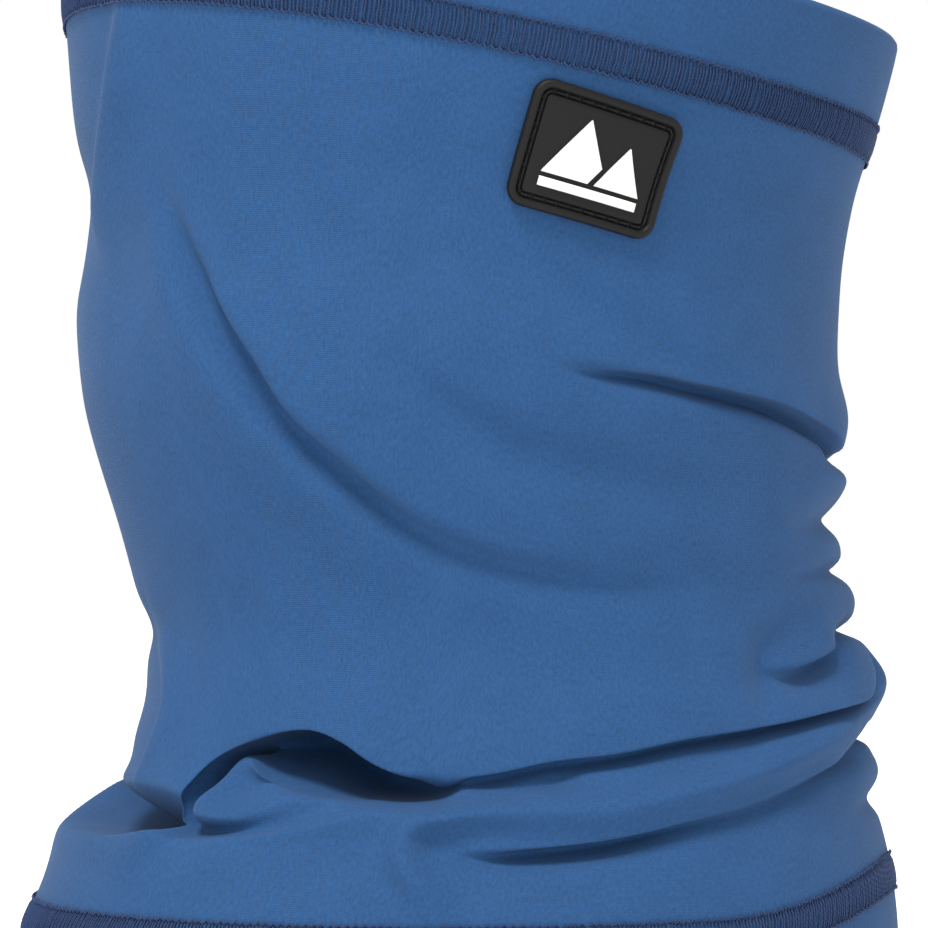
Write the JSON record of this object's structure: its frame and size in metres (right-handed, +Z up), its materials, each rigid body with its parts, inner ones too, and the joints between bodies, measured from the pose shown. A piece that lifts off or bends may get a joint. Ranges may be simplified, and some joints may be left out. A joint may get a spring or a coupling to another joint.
{
  "type": "neck gaiter",
  "caption": "Stretch-knit tube worn round the neck and over the nose, gathered in soft folds, with cover-stitched hems and a sewn rubber patch.",
  "frame": {"origin": "on the ground under the middle of the bounding box, with the lower hem standing on the ground", "axes": "+Z up the neck, the wearer faces -Y, +X to the wearer's left, where the patch is"},
  "size_m": [0.149, 0.163, 0.2],
  "materials": {
    "knit": "matte blue brushed polyester and elastane jersey",
    "thread": "navy polyester sewing thread",
    "patch_black": "satin moulded soft rubber",
    "patch_thread": "black polyester sewing thread",
    "patch_white": "satin moulded soft rubber",
    "label": "white woven satin tape"
  },
  "bodies": {
    "root": {"knit_tube": "knit", "upper_hem_cover_thread": "thread", "upper_hem_looper_thread": "thread", "lower_hem_cover_thread": "thread", "lower_hem_looper_thread": "thread", "back_seam_cover_thread": "thread", "back_seam_looper_thread": "thread", "patch_base": "patch_black", "patch_thread": "patch_thread", "patch_peak_tall": "patch_white", "patch_peak_small": "patch_white", "patch_ground_line": "patch_white", "care_label": "label"}
  },
  "joints": []
}
